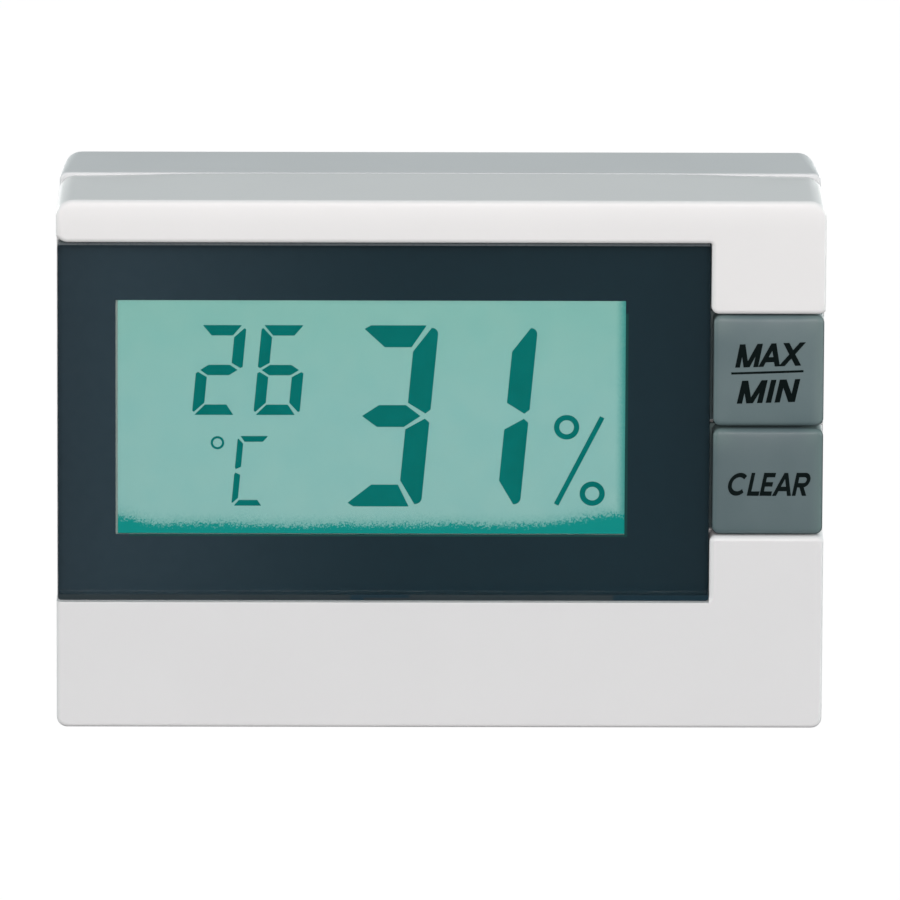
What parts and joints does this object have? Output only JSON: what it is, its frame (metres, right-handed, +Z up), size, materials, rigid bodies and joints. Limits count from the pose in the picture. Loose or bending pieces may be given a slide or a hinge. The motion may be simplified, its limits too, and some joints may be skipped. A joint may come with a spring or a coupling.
{
  "type": "maximum minimum thermometer",
  "caption": "Small white desk thermometer and hygrometer with a segment display behind a dark window, a stack of grey push buttons beside it and a fold-out stand at the back.",
  "frame": {"origin": "on the surface it stands on, at the middle of the footprint's box", "axes": "+X to the user's right as the display is read, +Y from the display to the back, +Z up"},
  "size_m": [0.058, 0.016, 0.0412],
  "materials": {
    "abs_white": "fine satin moulded ABS, slightly warm white",
    "abs_natural": "plain natural moulding",
    "abs_grey": "satin mid grey with a slight green tint, dark pad-printed labels",
    "acrylic_dark": "polished clear acrylic, back-printed blue-black round a clear opening",
    "adhesive_black": "double-sided tape",
    "polariser_green": "satin film, grey-green, with dark teal segments",
    "glass_clear": "thin float glass",
    "reflector_silver": "matt reflector film",
    "elastomer": "layered silicone rubber",
    "board_green": "glass-fibre board with solder mask",
    "epoxy_black": "moulded or dripped epoxy",
    "steel": "nickel-plated steel",
    "spring_steel": "tinned spring steel",
    "ceramic_tan": "fired ceramic with tinned ends",
    "resin_green": "dipped resin bead"
  },
  "bodies": {
    "case": {"front_housing": "abs_white", "rear_housing": "abs_white", "display_window": "acrylic_dark", "window_adhesive": "adhesive_black", "lcd_front_polariser": "polariser_green", "lcd_front_glass": "glass_clear", "lcd_rear_glass": "glass_clear", "lcd_reflector": "reflector_silver", "lcd_holder": "abs_natural", "zebra_strip": "elastomer", "pcb": "board_green", "cob_chip": "epoxy_black", "crystal": "steel", "capacitor_1": "ceramic_tan", "capacitor_2": "ceramic_tan", "resistor_1": "epoxy_black", "resistor_2": "epoxy_black", "humidity_sensor": "abs_natural", "thermistor": "resin_green", "switch_max_min": "epoxy_black", "switch_clear": "epoxy_black", "battery_cell": "steel", "battery_contact_positive": "spring_steel", "battery_contact_negative": "spring_steel", "housing_screw_1": "steel", "housing_screw_2": "steel", "housing_screw_3": "steel", "housing_screw_4": "steel", "pcb_screw_1": "steel", "pcb_screw_2": "steel", "pcb_screw_3": "steel"},
    "max_min_button": {"button_max_min": "abs_grey", "plunger_max_min": "abs_natural"},
    "clear_button": {"button_clear": "abs_grey", "plunger_clear": "abs_natural"},
    "stand": {"stand_leg": "abs_white"},
    "cover": {"battery_cover": "abs_white"}
  },
  "joints": [
    {"name": "max_min_press", "type": "slide", "parent": "case", "child": "max_min_button", "axis": [0, 1, 0], "range_m": [0, 0.0005], "stiffness_N_per_m": 1000},
    {"name": "clear_press", "type": "slide", "parent": "case", "child": "clear_button", "axis": [0, 1, 0], "range_m": [0, 0.0005], "stiffness_N_per_m": 1000},
    {"name": "stand_fold", "type": "hinge", "parent": "case", "child": "stand", "pos_m": [0, 0.007, 0.0286], "axis": [1, 0, 0], "range_deg": [0, 60]},
    {"name": "cover_turn", "type": "hinge", "parent": "case", "child": "cover", "pos_m": [0.0186, 0.008, 0.0155], "axis": [0, 1, 0], "range_deg": [0, 45]}
  ]
}
